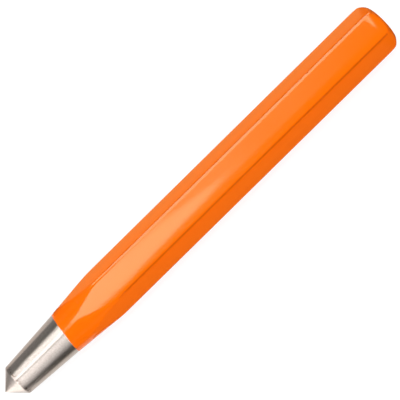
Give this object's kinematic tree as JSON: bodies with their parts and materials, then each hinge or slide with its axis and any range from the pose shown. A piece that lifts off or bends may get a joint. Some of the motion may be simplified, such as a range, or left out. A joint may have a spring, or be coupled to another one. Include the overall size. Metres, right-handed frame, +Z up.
{
  "type": "center punch",
  "caption": "Plain center punch of hexagonal bar with a painted body, a bare tapered nose, a conical point and a chamfered striking face.",
  "frame": {"origin": "on the surface that the punch lies on, under the middle of its length", "axes": "+X along the punch from its point to its striking face; +Z up, square to the flat that it lies on; +Y level, square to both"},
  "size_m": [0.118, 0.0126, 0.0112],
  "materials": {
    "orange_paint": "glossy orange paint over the bar and the shoulder, from the striking face to a line about 19 mm behind the tip",
    "bare_steel": "ground bare steel on the nose and the point, ahead of the paint line"
  },
  "bodies": {
    "root": {"center_punch": "orange_paint"}
  },
  "joints": []
}
